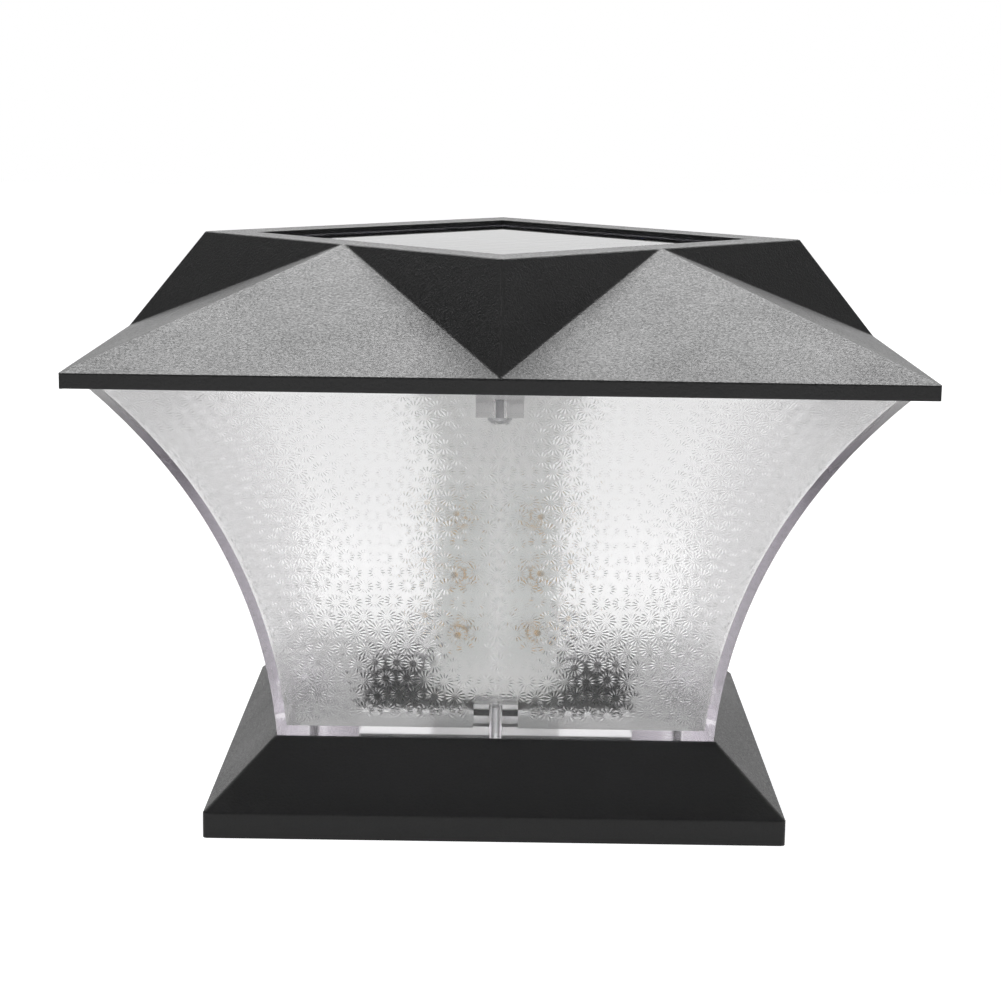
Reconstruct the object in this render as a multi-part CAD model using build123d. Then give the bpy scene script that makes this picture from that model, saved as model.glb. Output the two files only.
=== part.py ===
"""Square solar light that stands on a pillar or post.

A faceted black roof carries a solar panel. Below it a clear flared shade surrounds a white
hexagonal column of LED boards, and a black skirt at the bottom stands on the post.

Millimetres, +Z up. The origin is the centre of the base's underside, and the front faces -Y.
"""
from build123d import *
from math import sqrt
import os

# Base sizes

base_width = 180.0
base_band_height = 8.0
base_height = 27.0
base_top_width = 139.4
base_wall = 2.5
base_opening = 88.0
base_hip_radius = 1.5
fixing_spacing = 150.0
fixing_hole_radius = 2.25
fixing_hole_depth = 14.0
fixing_boss_wall = 2.75
fixing_web = 2.0

# Clear shade sizes

shade_height = 117.0
shade_ledge = 0.8
shade_middle_width = 164.8
shade_eave = 6.6
shade_wall = 3.0
shade_floor = 3.0
tab_width = 14.0
tab_height = 8.0
tab_land = 5.0
tab_gap = 1.5

# Roof sizes

roof_width = 250.0
roof_rim_height = 4.5
roof_rise = 32.0
roof_wall = 2.5
roof_edge_radius = 1.0
crown_lean = 26.0
panel_opening = 116.0
panel_recess = 1.8
panel_shelf_width = 5.0
panel_shelf_height = 2.5
hip_rib_width = 1.6
hip_rib_lift = 8.0
boss_wall = 2.4
boss_rib_width = 1.6

# Solar panel sizes

glass_thickness = 2.0
glass_edge = 0.4
wafer_thickness = 0.4
wafer_columns = 2
wafer_rows = 6
wafer_gap = 1.2
wafer_margin = 5.0
backboard_thickness = 1.6
seal_thickness = 0.8
seal_width = 4.0

# Ceiling plate and gasket sizes

plate_thickness = 2.0
plate_bore_radius = 17.0
plate_screw_inset = 37.0
gasket_width = 3.0
gasket_height = 1.6
gasket_inset = 7.5
seal_rib_width = 1.6
seal_rib_height = 5.0
standoff_wall = 1.9

# Battery sizes

cell_radius = 9.1
cell_length = 65.0
cell_cap_radius = 3.4
cell_cap_height = 1.4
cell_edge_radius = 0.6
holder_floor = 1.5
holder_wall = 1.6
holder_wall_height = 13.5
holder_place = 54.0
ear_length = 9.0
ear_thickness = 2.0
ear_lift = 4.0
contact_room = 3.0
contact_width = 10.0
contact_thickness = 0.5

# Charging board sizes

board_width = 64.0
board_depth = 40.0
board_thickness = 1.6
board_place = 52.0
board_lift = 5.0
board_hole_inset = 4.0
socket_count = 4
socket_width = 7.0
socket_depth = 6.0
socket_height = 6.0
socket_pitch = 14.0
socket_inset = 6.0
part_inset = 12.0
part_pitch = 17.0
chip_width = 6.0
chip_length = 8.0
chip_height = 1.7
capacitor_radius = 4.0
capacitor_height = 11.0
capacitor_edge_radius = 0.4
inductor_radius = 5.0
inductor_height = 5.0
inductor_flange = 1.0
lead_radius = 1.2
lead_bend_radius = 6.0
lead_crown = 168.0
lead_spread = 4.0
lead_entry_radius = 1.6

# Light column sizes

collar_height = 35.0
collar_top_radius = 34.0
collar_bottom_radius = 21.0
collar_wall = 2.0
collar_flange_radius = 41.0
collar_flange_thickness = 2.0
collar_screw_circle = 37.5
spigot_height = 6.0
column_sides = 6
column_apothem = 21.3
column_edge_radius = 2.5
column_bore_radius = 16.0
column_foot = 9.3
led_board_width = 17.0
led_board_length = 60.0
led_board_thickness = 1.6
led_board_recess = 0.4
led_count = 3
led_pitch = 19.3
led_radius = 2.5
led_length = 8.6
led_flange_radius = 2.9
led_flange_height = 1.0
cap_radius = 25.1
cap_thickness = 3.0
cap_lift = 1.0
cap_edge_radius = 0.8
cap_cup_height = 6.0
cap_screw_circle = 20.2

# Push switch sizes

switch_width = 12.0
switch_height = 9.0
switch_roof = 1.0
switch_pin_width = 0.8
switch_pin_height = 3.0
button_radius = 4.5
button_proud = 2.5
button_travel = 1.5
button_stem_radius = 2.0
button_edge_radius = 0.5

# Screw sizes

large_radius = 2.0
large_head_radius = 3.6
large_head_height = 2.4
large_bite = 12.0
small_radius = 1.25
small_head_radius = 2.4
small_head_height = 1.5
small_bite = 6.0
short_bite = 4.5
recess_width = 0.9
recess_reach = 0.55
recess_depth = 0.6
screw_edge = 0.4

# Fits

seam = 0.15
running_gap = 0.1
pilot_gap = 0.05
end_gap = 0.3
hole_gap = 0.15
pilot_spare = 0.5

# Levels

shade_bottom = base_height
roof_bottom = shade_bottom + shade_height
rim_top = roof_bottom + roof_rim_height
roof_top = rim_top + roof_rise
plate_top = roof_bottom + plate_thickness
glass_top = roof_top - panel_recess
wafer_top = glass_top - glass_thickness
backboard_top = wafer_top - wafer_thickness
backboard_bottom = backboard_top - backboard_thickness
shelf_top = backboard_bottom - seal_thickness
shelf_bottom = shelf_top - panel_shelf_height
collar_bottom = roof_bottom - collar_height
cap_bottom = base_height + cap_lift
column_bottom = cap_bottom + cap_thickness
led_board_bottom = column_bottom + column_foot
led_middle = led_board_bottom + led_board_length / 2
tab_bottom = roof_bottom - tab_height
board_bottom = plate_top + board_lift
board_top = board_bottom + board_thickness
socket_top = board_top + socket_height
ear_bottom = plate_top + ear_lift
ear_top = ear_bottom + ear_thickness
cell_axis = plate_top + holder_floor + cell_radius + running_gap

# Plan sizes

base_half = base_width / 2
base_top_half = base_top_width / 2
shade_bottom_half = base_top_half - shade_ledge
shade_middle_half = shade_middle_width / 2
shade_top_half = roof_width / 2 - shade_eave
fixing_place = fixing_spacing / 2
roof_half = roof_width / 2
top_diagonal_half = roof_half - crown_lean
plate_half = roof_half - roof_wall - seam
plate_screw_place = roof_half - plate_screw_inset
panel_size = panel_opening - 2 * seam
gasket_half = plate_half - gasket_inset
holder_half_length = cell_length / 2 + contact_room + holder_wall
holder_half_depth = running_gap / 2 + 2 * cell_radius + running_gap + holder_wall
ear_place = holder_half_length + ear_length / 2
socket_place = board_place - board_depth / 2 + socket_inset
part_place = board_place + board_depth / 2 - part_inset
led_board_outside = column_apothem - led_board_recess
led_board_inside = led_board_outside - led_board_thickness
spigot_radius = collar_bottom_radius - collar_wall - running_gap

os.makedirs("parts", exist_ok=True)


def save(name, shape):
    """Write one sub-part, one solid or a group of them, to its STEP file."""
    if isinstance(shape, (list, tuple)):
        shape = Compound(children=list(shape))
    export_step(shape, f"parts/{name}.step")


def block(x_size, y_size, z_low, z_high, x_mid=0.0, y_mid=0.0):
    """A box given by its plan size, its two levels and its middle."""
    whole = Box(x_size, y_size, z_high - z_low, align=(Align.CENTER, Align.CENTER, Align.MIN))
    return Pos(x_mid, y_mid, z_low) * whole


def rod(radius, z_low, z_high, x_mid=0.0, y_mid=0.0):
    """An upright cylinder given by its two levels and its middle."""
    whole = Cylinder(radius, z_high - z_low, align=(Align.CENTER, Align.CENTER, Align.MIN))
    return Pos(x_mid, y_mid, z_low) * whole


def square_ring(half, width, z_low, z_high):
    """A square frame given by its outer half size and its width."""
    outer = block(2 * half, 2 * half, z_low, z_high)
    return outer - block(2 * (half - width), 2 * (half - width), z_low, z_high)


def frustum(half_low, half_high, z_low, z_high, turn=0.0):
    """A square taper between two levels, given by its half sizes across the flats."""
    low = Plane.XY.offset(z_low) * Rot(0, 0, turn) * Rectangle(2 * half_low, 2 * half_low)
    high = Plane.XY.offset(z_high) * Rot(0, 0, turn) * Rectangle(2 * half_high, 2 * half_high)
    return loft([low, high])


class Slope:
    """A flat wall that leans in between two levels, which can be moved in by a wall thickness."""

    def __init__(self, half_low, half_high, z_low, z_high):
        self.half_low = half_low
        self.lean = (half_low - half_high) / (z_high - z_low)
        self.z_low = z_low

    def half_at(self, level, wall=0.0):
        across = wall * sqrt(1 + self.lean * self.lean)
        return self.half_low - self.lean * (level - self.z_low) - across

    def taper(self, z_low, z_high, wall=0.0, turn=0.0):
        return frustum(self.half_at(z_low, wall), self.half_at(z_high, wall), z_low, z_high, turn)


def around(shape, count=4, first=0.0):
    """The same shape repeated about the upright axis."""
    return [Rot(0, 0, first + 360 / count * index) * shape for index in range(count)]


def corners(x_place, y_place=None):
    """The four corners of a rectangle about the axis."""
    y_place = x_place if y_place is None else y_place
    return [(x_side * x_place, y_side * y_place) for x_side in (-1, 1) for y_side in (-1, 1)]


def screw(radius, head_radius, head_height, length):
    """A pan-head screw with its head below the origin and its shank above it."""
    head = rod(head_radius, -head_height, 0)
    head = chamfer(head.edges().group_by(Axis.Z)[0], screw_edge * head_height)
    shank = rod(radius, 0, length)
    shank = chamfer(shank.edges().group_by(Axis.Z)[-1], screw_edge * radius)
    recess_top = -(1 - recess_depth) * head_height
    recess = block(2 * recess_reach * head_radius, recess_width, -head_height, recess_top)
    return head + shank - recess - Rot(0, 0, 90) * recess


def large_screw(length):
    return screw(large_radius, large_head_radius, large_head_height, length)


def small_screw(length):
    return screw(small_radius, small_head_radius, small_head_height, length)


def lead(points):
    """A round two-core lead: straight runs joined by tangent bends."""
    path = FilletPolyline(*points, radius=lead_bend_radius) if len(points) > 2 else Line(*points)
    section = Plane(origin=path @ 0, z_dir=path % 0) * Circle(lead_radius)
    return sweep(section, path=path)


# Base: a hollow skirt with a square opening in its top and a screw boss in each corner

base_slope = Slope(base_half, base_top_half, base_band_height, base_height)
base_under_top = base_height - base_wall


def make_base():
    outside = block(base_width, base_width, 0, base_band_height)
    outside += base_slope.taper(base_band_height, base_height)
    hips = outside.edges().filter_by(lambda edge: abs(edge.tangent_at(0).Z) > 0.1)
    outside = fillet(hips, base_hip_radius)
    hollow = base_slope.taper(0, base_under_top, base_wall)
    band_inside = base_width - 2 * base_wall
    hollow &= block(band_inside, band_inside, 0, base_under_top)
    base = outside - hollow - block(base_opening, base_opening, 0, base_height)
    web_length = base_half - fixing_place
    fixing = rod(fixing_hole_radius + fixing_boss_wall, 0, base_under_top, fixing_place, fixing_place)
    fixing += block(web_length, fixing_web, 0, base_under_top, fixing_place + web_length / 2, fixing_place)
    fixing += block(fixing_web, web_length, 0, base_under_top, fixing_place, fixing_place + web_length / 2)
    fixing &= outside
    fixing_hole = rod(fixing_hole_radius, 0, fixing_hole_depth, fixing_place, fixing_place)
    screw_hole = rod(large_radius + hole_gap, base_under_top, base_height, 0, -low_screw_place)
    base += around(fixing)
    return base - around(fixing_hole) - around(screw_hole)


# Shade: one curved profile run both ways, so the four flared sides meet in mitred corners

class Flare:
    """The arc that the shade's outside follows, through its bottom, middle and top widths."""

    def __init__(self, bottom, middle, top, z_low, z_high):
        z_middle = (z_low + z_high) / 2
        below = ((bottom ** 2 - middle ** 2) + (z_low ** 2 - z_middle ** 2)) / 2
        above = ((top ** 2 - middle ** 2) + (z_high ** 2 - z_middle ** 2)) / 2
        spread = (bottom - middle) * (z_high - z_middle) - (top - middle) * (z_low - z_middle)
        self.x = (below * (z_high - z_middle) - above * (z_low - z_middle)) / spread
        self.z = ((bottom - middle) * above - (top - middle) * below) / spread
        self.radius = sqrt((self.x - middle) ** 2 + (self.z - z_middle) ** 2)

    def half_at(self, level, wall=0.0):
        return self.x - sqrt((self.radius + wall) ** 2 - (level - self.z) ** 2)

    def block(self, z_low, z_high, wall=0.0):
        levels = (z_low, (z_low + z_high) / 2, z_high)
        right = [(self.half_at(level, wall), level) for level in levels]
        left = [(-across, level) for across, level in right]
        sides = [ThreePointArc(*right), ThreePointArc(*left)]
        ends = [Line(right[2], left[2]), Line(left[0], right[0])]
        run = extrude(Plane.XZ * make_face(sides + ends), shade_top_half, both=True)
        return run & (Rot(0, 0, 90) * run)


flare = Flare(shade_bottom_half, shade_middle_half, shade_top_half, shade_bottom, roof_bottom)
shade_floor_top = shade_bottom + shade_floor
low_tab_top = shade_floor_top + tab_height
low_bite = low_tab_top - shade_bottom - 2 * pilot_spare
top_screw_room = flare.half_at(tab_bottom - large_head_height, shade_wall)
top_screw_place = top_screw_room - large_head_radius - tab_gap
low_screw_place = flare.half_at(shade_floor_top, shade_wall) - tab_land


def tab(place, z_low, z_high):
    """A screw tab that reaches in from the front wall, left long outside it."""
    inner_end = place - tab_land
    depth = roof_half - inner_end
    return block(tab_width, depth, z_low, z_high, 0, -inner_end - depth / 2)


def make_shade():
    outside = flare.block(shade_bottom, roof_bottom)
    inside = flare.block(shade_floor_top, roof_bottom, shade_wall)
    shade = outside - inside - block(base_opening, base_opening, shade_bottom, shade_floor_top)
    tabs = around(tab(top_screw_place, tab_bottom, roof_bottom))
    tabs += around(tab(low_screw_place, shade_floor_top, low_tab_top))
    shade += [one & outside for one in tabs]
    top_hole = rod(large_radius + hole_gap, tab_bottom, roof_bottom, 0, -top_screw_place)
    low_hole_top = shade_bottom + low_bite + pilot_spare
    low_hole = rod(large_radius + pilot_gap, shade_bottom, low_hole_top, 0, -low_screw_place)
    return shade - around(top_hole) - around(low_hole)


# Roof: an upright square taper crossed with one turned by an eighth of a turn

wing_slope = Slope(roof_half, top_diagonal_half / 2, rim_top, roof_top)
crown_slope = Slope(roof_half / sqrt(2), top_diagonal_half / sqrt(2), rim_top, roof_top)


def roof_body(z_low, z_high, wall=0.0):
    """The faceted body between two levels: shallow wings to the corners, steep crown between."""
    wings = wing_slope.taper(z_low, z_high, wall)
    crown = crown_slope.taper(z_low, z_high, wall, turn=45)
    return wings + crown


def turned_block(size, z_low, z_high):
    return Rot(0, 0, 45) * block(size, size, z_low, z_high)


def roof_boss(radius, x_place, y_place):
    return rod(radius + boss_wall, plate_top, shelf_bottom, x_place, y_place)


def make_roof():
    footprint = block(roof_width, roof_width, roof_bottom, roof_top)
    footprint = fillet(footprint.edges().filter_by(Axis.Z), roof_edge_radius)
    outside = block(roof_width, roof_width, roof_bottom, rim_top) + roof_body(rim_top, roof_top)
    outside &= footprint
    inner_width = roof_width - 2 * roof_wall
    hollow = roof_body(roof_bottom, roof_top - roof_wall, roof_wall)
    hollow &= block(inner_width, inner_width, roof_bottom, roof_top)
    roof = outside - (hollow - turned_block(panel_opening + 2 * roof_wall, shelf_bottom, roof_top))
    roof -= turned_block(panel_opening, shelf_top, roof_top)
    roof -= turned_block(panel_opening - 2 * panel_shelf_width, shelf_bottom, shelf_top)
    rib_half = gasket_half - (gasket_width - seal_rib_width) / 2
    rib_bottom = plate_top + gasket_height
    inner_work = square_ring(rib_half, seal_rib_width, rib_bottom, rib_bottom + seal_rib_height)
    hip_start = panel_opening / 2 + roof_wall / 2
    hip_length = gasket_half * sqrt(2) - gasket_inset - hip_start
    hip_rib = block(hip_length, hip_rib_width, plate_top + hip_rib_lift, roof_top - roof_wall,
                    hip_start + hip_length / 2)
    inner_work += around(hip_rib, first=45)
    boss_rib = block(boss_rib_width, roof_half - top_screw_place, plate_top + hip_rib_lift, shelf_bottom,
                     0, -(roof_half + top_screw_place) / 2)
    inner_work += around(boss_rib)
    inner_work += around(roof_boss(large_radius, 0, -top_screw_place))
    inner_work += around(roof_boss(small_radius, plate_screw_place, plate_screw_place))
    roof += inner_work & outside
    large_hole_top = plate_top + large_bite + pilot_spare
    small_hole_top = plate_top + small_bite + pilot_spare
    large_hole = rod(large_radius + pilot_gap, plate_top, large_hole_top, 0, -top_screw_place)
    small_pilot = small_radius + pilot_gap
    small_hole = rod(small_pilot, plate_top, small_hole_top, plate_screw_place, plate_screw_place)
    return roof - around(large_hole) - around(small_hole)


# Solar panel: glass over two columns of wafers on a backboard, bedded on a seal

def make_glass():
    glass = turned_block(panel_size, wafer_top, glass_top)
    return chamfer(glass.faces().sort_by(Axis.Z)[-1].edges(), glass_edge)


def make_wafers():
    field = panel_size - 2 * wafer_margin
    x_pitch = (field + wafer_gap) / wafer_columns
    y_pitch = (field + wafer_gap) / wafer_rows
    wafer = block(x_pitch - wafer_gap, y_pitch - wafer_gap, backboard_top, wafer_top)
    places = GridLocations(x_pitch, y_pitch, wafer_columns, wafer_rows)
    return [Rot(0, 0, 45) * place * wafer for place in places]


def make_backboard():
    return turned_block(panel_size, backboard_bottom, backboard_top)


def make_panel_seal():
    return Rot(0, 0, 45) * square_ring(panel_size / 2, seal_width, shelf_top, backboard_bottom)


# Ceiling plate: closes the roof from below and carries the column, the board and the battery

board_holes = [(x, y - board_place) for x, y in
               corners(board_width / 2 - board_hole_inset, board_depth / 2 - board_hole_inset)]
holder_holes = [(side * ear_place, holder_place) for side in (-1, 1)]
collar_holes = corners(collar_screw_circle / sqrt(2))


def make_plate():
    plate = block(2 * plate_half, 2 * plate_half, roof_bottom, plate_top)
    standoff_radius = small_radius + standoff_wall
    plate += [rod(standoff_radius, plate_top, board_bottom, x, y) for x, y in board_holes]
    plate += [rod(standoff_radius, plate_top, ear_bottom, x, y) for x, y in holder_holes]
    collar_pilot_top = roof_bottom + small_bite + pilot_spare
    plate += [rod(standoff_radius, plate_top, collar_pilot_top + pilot_spare, x, y) for x, y in collar_holes]
    plate -= rod(plate_bore_radius, roof_bottom, plate_top)
    pilot = small_radius + pilot_gap
    short_pilot = short_bite + pilot_spare
    plate -= [rod(pilot, board_bottom - short_pilot, board_bottom, x, y) for x, y in board_holes]
    plate -= [rod(pilot, ear_bottom - short_pilot, ear_bottom, x, y) for x, y in holder_holes]
    plate -= [rod(pilot, roof_bottom, collar_pilot_top, x, y) for x, y in collar_holes]
    large_hole = rod(large_radius + hole_gap, roof_bottom, plate_top, 0, -top_screw_place)
    small_hole = rod(small_radius + hole_gap, roof_bottom, plate_top, plate_screw_place, plate_screw_place)
    return plate - around(large_hole) - around(small_hole)


def make_gasket():
    return square_ring(gasket_half, gasket_width, plate_top, plate_top + gasket_height)


def make_plate_screws():
    one = Pos(plate_screw_place, plate_screw_place, roof_bottom) * small_screw(plate_thickness + small_bite)
    return around(one)


# Battery: two round cells side by side in a tray with spring contacts

cell_places = [holder_place + side * (cell_radius + running_gap / 2) for side in (-1, 1)]


def make_holder():
    floor_top = plate_top + holder_floor
    wall_top = floor_top + holder_wall_height
    room_length = 2 * (holder_half_length - holder_wall)
    room_depth = 2 * (holder_half_depth - holder_wall)
    outer = block(2 * holder_half_length, 2 * holder_half_depth, plate_top, wall_top, 0, holder_place)
    room = block(room_length, room_depth, floor_top, wall_top, 0, holder_place)
    ears = [block(ear_length, contact_width, ear_bottom, ear_top, x, y) for x, y in holder_holes]
    holes = [rod(small_radius + hole_gap, ear_bottom, ear_top, x, y) for x, y in holder_holes]
    return outer - room + ears - holes


def make_cell(place, heading):
    can = Cylinder(cell_radius, cell_length - cell_cap_height, align=(Align.CENTER, Align.CENTER, Align.MIN))
    can = fillet(can.edges(), cell_edge_radius)
    nub = Cylinder(cell_cap_radius, cell_length, align=(Align.CENTER, Align.CENTER, Align.MIN))
    along = Pos(0, place, cell_axis) * Rot(0, 90 * heading, 0)
    return along * Pos(0, 0, -cell_length / 2) * (can + nub)


def make_contacts():
    contacts = []
    wall_face = holder_half_length - holder_wall
    spring_length = contact_room - contact_thickness - running_gap
    for place in cell_places:
        for side in (-1, 1):
            leaf = Box(contact_thickness, contact_width, contact_width)
            spring = Rot(0, -90 * side, 0) * Cone(contact_width / 2, cell_cap_radius, spring_length)
            spring_middle = wall_face - contact_thickness - spring_length / 2
            contact = Pos(side * (wall_face - contact_thickness / 2), place, cell_axis) * leaf
            contacts.append(contact + Pos(side * spring_middle, place, cell_axis) * spring)
    return contacts


def make_holder_screws():
    turned = Rot(180, 0, 0) * small_screw(ear_thickness + short_bite)
    return [Pos(x, y, ear_top) * turned for x, y in holder_holes]


# Charging board and what is soldered to it

def make_board():
    board = block(board_width, board_depth, board_bottom, board_top, 0, -board_place)
    return board - [rod(small_radius + hole_gap, board_bottom, board_top, x, y) for x, y in board_holes]


def make_board_screws():
    turned = Rot(180, 0, 0) * small_screw(board_thickness + short_bite)
    return [Pos(x, y, board_top) * turned for x, y in board_holes]


socket_places = [socket_pitch * (index - (socket_count - 1) / 2) for index in range(socket_count)]
battery_socket, led_socket, switch_socket, panel_socket = socket_places


def make_sockets():
    return [block(socket_width, socket_depth, board_top, socket_top, x, -socket_place) for x in socket_places]


def make_chip():
    return block(chip_length, chip_width, board_top, board_top + chip_height, part_pitch, -part_place)


def make_capacitor():
    can = rod(capacitor_radius, board_top, board_top + capacitor_height, -part_pitch, -part_place)
    return fillet(can.edges().group_by(Axis.Z)[-1], capacitor_edge_radius)


def make_inductor():
    drum = rod(inductor_radius, board_top, board_top + inductor_height, 0, -part_place)
    groove_bottom = board_top + inductor_flange
    groove_top = board_top + inductor_height - inductor_flange
    groove = rod(inductor_radius, groove_bottom, groove_top, 0, -part_place)
    return drum - (groove - rod(inductor_radius - inductor_flange, groove_bottom, groove_top, 0, -part_place))


# Leads between the board, the panel, the battery, the switch and the first LED board

def make_panel_lead():
    return lead([(panel_socket, -socket_place, socket_top), (panel_socket, -socket_place, backboard_bottom)])


def make_battery_lead():
    holder_face = holder_place - holder_half_depth
    turn_down = holder_face - 2 * lead_bend_radius
    return lead([
        (battery_socket, -socket_place, socket_top),
        (battery_socket, -socket_place, lead_crown),
        (battery_socket, turn_down, lead_crown),
        (battery_socket, turn_down, ear_bottom),
        (battery_socket, holder_face, ear_bottom),
    ])


def make_switch_lead():
    return lead([
        (switch_socket, -socket_place, socket_top),
        (switch_socket, -socket_place, lead_crown),
        (lead_spread, 0, lead_crown),
        (lead_spread, 0, column_bottom + switch_height),
    ])


led_lead_level = led_board_bottom + led_board_length - lead_bend_radius


def make_led_lead():
    return lead([
        (led_socket, -socket_place, socket_top),
        (led_socket, -socket_place, lead_crown),
        (-lead_spread, 0, lead_crown),
        (-lead_spread, 0, led_lead_level),
        (-led_board_inside, 0, led_lead_level),
    ])


# Light column: a conical collar, a hexagonal core with a board on each face, and a round cap

def make_collar():
    socket_top_level = collar_bottom + spigot_height
    lean = (collar_top_radius - collar_bottom_radius) / collar_height
    flange_bottom = roof_bottom - collar_flange_thickness
    outline = Polyline(
        (collar_bottom_radius - collar_wall, collar_bottom),
        (collar_bottom_radius, collar_bottom),
        (collar_top_radius - lean * collar_flange_thickness, flange_bottom),
        (collar_flange_radius, flange_bottom),
        (collar_flange_radius, roof_bottom),
        (collar_top_radius - collar_wall, roof_bottom),
        (collar_bottom_radius - collar_wall + lean * spigot_height, socket_top_level),
        (collar_bottom_radius - collar_wall, socket_top_level),
        close=True,
    )
    collar = revolve(Plane.XZ * make_face(outline), Axis.Z)
    holes = [rod(small_radius + hole_gap, flange_bottom, roof_bottom, x, y) for x, y in collar_holes]
    return collar - holes


def make_collar_screws():
    length = collar_flange_thickness + small_bite
    return [Pos(x, y, roof_bottom - collar_flange_thickness) * small_screw(length) for x, y in collar_holes]


cap_holes = [(0, side * cap_screw_circle) for side in (-1, 1)]


def make_core():
    outline = RegularPolygon(column_apothem, column_sides, major_radius=False, rotation=30)
    core = Pos(0, 0, column_bottom) * extrude(outline, collar_bottom - column_bottom)
    core = fillet(core.edges().filter_by(Axis.Z), column_edge_radius)
    core += rod(spigot_radius, collar_bottom, collar_bottom + spigot_height)
    core -= rod(column_bore_radius, column_bottom, collar_bottom + spigot_height)
    depth = column_apothem - led_board_inside
    pocket = block(depth, led_board_width + 2 * seam, led_board_bottom - seam,
                   led_board_bottom + led_board_length + seam, column_apothem - depth / 2)
    core -= around(pocket, column_sides)
    core -= [rod(small_radius + pilot_gap, column_bottom, column_bottom + small_bite + pilot_spare, x, y)
             for x, y in cap_holes]
    entry = Rot(0, 90, 0) * Cylinder(lead_entry_radius, column_apothem)
    return core - Pos(-column_apothem / 2, 0, led_lead_level) * entry


def make_led_board():
    middle = (led_board_inside + led_board_outside) / 2
    top = led_board_bottom + led_board_length
    return block(led_board_thickness, led_board_width, led_board_bottom, top, middle)


def make_led():
    """One domed LED standing on the origin, pointing up."""
    shoulder = led_length - led_radius
    side = Polyline(
        (0, led_length),
        (0, 0),
        (led_flange_radius, 0),
        (led_flange_radius, led_flange_height),
        (led_radius, led_flange_height),
        (led_radius, shoulder),
    )
    dome = RadiusArc((led_radius, shoulder), (0, led_length), -led_radius)
    return revolve(Plane.XZ * make_face([side, dome]), Axis.Z)


def make_led_set():
    levels = [led_middle + led_pitch * (index - (led_count - 1) / 2) for index in range(led_count)]
    return [Pos(led_board_outside, 0, level) * Rot(0, 90, 0) * make_led() for level in levels]


def make_cap():
    cap = rod(cap_radius, cap_bottom, column_bottom)
    cap = fillet(cap.edges().group_by(Axis.Z)[0], cap_edge_radius)
    cap += rod(column_bore_radius - running_gap, column_bottom, column_bottom + cap_cup_height)
    well = switch_width + 2 * seam
    cap -= block(well, well, column_bottom, column_bottom + cap_cup_height)
    cap -= rod(button_radius + running_gap, cap_bottom, column_bottom)
    cap -= [rod(small_radius + hole_gap, cap_bottom, column_bottom, x, y) for x, y in cap_holes]
    return cap - [rod(small_head_radius + hole_gap, cap_bottom, cap_bottom + small_head_height, x, y)
                  for x, y in cap_holes]


def make_cap_screws():
    seat = cap_bottom + small_head_height
    return [Pos(x, y, seat) * small_screw(column_bottom - seat + small_bite) for x, y in cap_holes]


# Push switch: its button comes down through the cap and is pressed upwards

switch_bore_depth = switch_height - switch_roof


def make_switch_body():
    body = block(switch_width, switch_width, column_bottom, column_bottom + switch_height)
    body -= rod(button_stem_radius + running_gap, column_bottom, column_bottom + switch_bore_depth)
    pin_top = column_bottom + switch_height + switch_pin_height
    pins = [block(2 * switch_pin_width, switch_pin_width, column_bottom + switch_height, pin_top,
                  0, side * switch_width / 4) for side in (-1, 1)]
    return body + pins


def make_button():
    head_bottom = cap_bottom - button_proud
    head_top = column_bottom - button_travel - end_gap
    stem_top = column_bottom + switch_bore_depth - button_travel - end_gap
    head = rod(button_radius, head_bottom, head_top)
    head = fillet(head.edges().group_by(Axis.Z)[0], button_edge_radius)
    return head + rod(button_stem_radius, head_top, stem_top)


def make_top_screws():
    length = tab_height + plate_thickness + large_bite
    return around(Pos(0, -top_screw_place, tab_bottom) * large_screw(length))


def make_low_screws():
    length = base_wall + low_bite
    return around(Pos(0, -low_screw_place, base_under_top) * large_screw(length))


save("roof_shell", make_roof())
save("panel_glass", make_glass())
save("solar_wafers", make_wafers())
save("panel_backboard", make_backboard())
save("panel_seal", make_panel_seal())
save("ceiling_plate", make_plate())
save("plate_gasket", make_gasket())
save("plate_screws", make_plate_screws())
save("battery_holder", make_holder())
save("battery_cell_front", make_cell(cell_places[0], 1))
save("battery_cell_rear", make_cell(cell_places[1], -1))
save("battery_contacts", make_contacts())
save("holder_screws", make_holder_screws())
save("charging_board", make_board())
save("board_screws", make_board_screws())
save("lead_sockets", make_sockets())
save("charging_chip", make_chip())
save("capacitor", make_capacitor())
save("inductor", make_inductor())
save("panel_lead", make_panel_lead())
save("battery_lead", make_battery_lead())
save("switch_lead", make_switch_lead())
save("led_lead", make_led_lead())
save("column_collar", make_collar())
save("collar_screws", make_collar_screws())
save("column_core", make_core())
for number, turn in enumerate(range(0, 360, 360 // column_sides), start=1):
    save(f"led_board_{number}", Rot(0, 0, turn) * make_led_board())
    save(f"led_set_{number}", [Rot(0, 0, turn) * led for led in make_led_set()])
save("column_cap", make_cap())
save("cap_screws", make_cap_screws())
save("switch_body", make_switch_body())
save("switch_button", make_button())
save("shade", make_shade())
save("shade_top_screws", make_top_screws())
save("shade_base_screws", make_low_screws())
save("base_frame", make_base())
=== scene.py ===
"""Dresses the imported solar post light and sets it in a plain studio.

The roof and the base are sand-grained black plastic, the flared shade is one clear moulding with a
relief of small flowers on its inside, and the column in the middle carries six boards of LEDs.
Sizes are millimetres, and each finished mesh is brought to metres once, when it becomes a piece.
Only the studio's own sizes are metres.
"""
import logging
import math
import random
from dataclasses import dataclass, field
from enum import Enum
from typing import Iterable, Sequence

import bmesh
import bpy
from mathutils import Matrix, Vector
from mathutils.geometry import delaunay_2d_cdt
from mathutils.kdtree import KDTree


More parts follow.
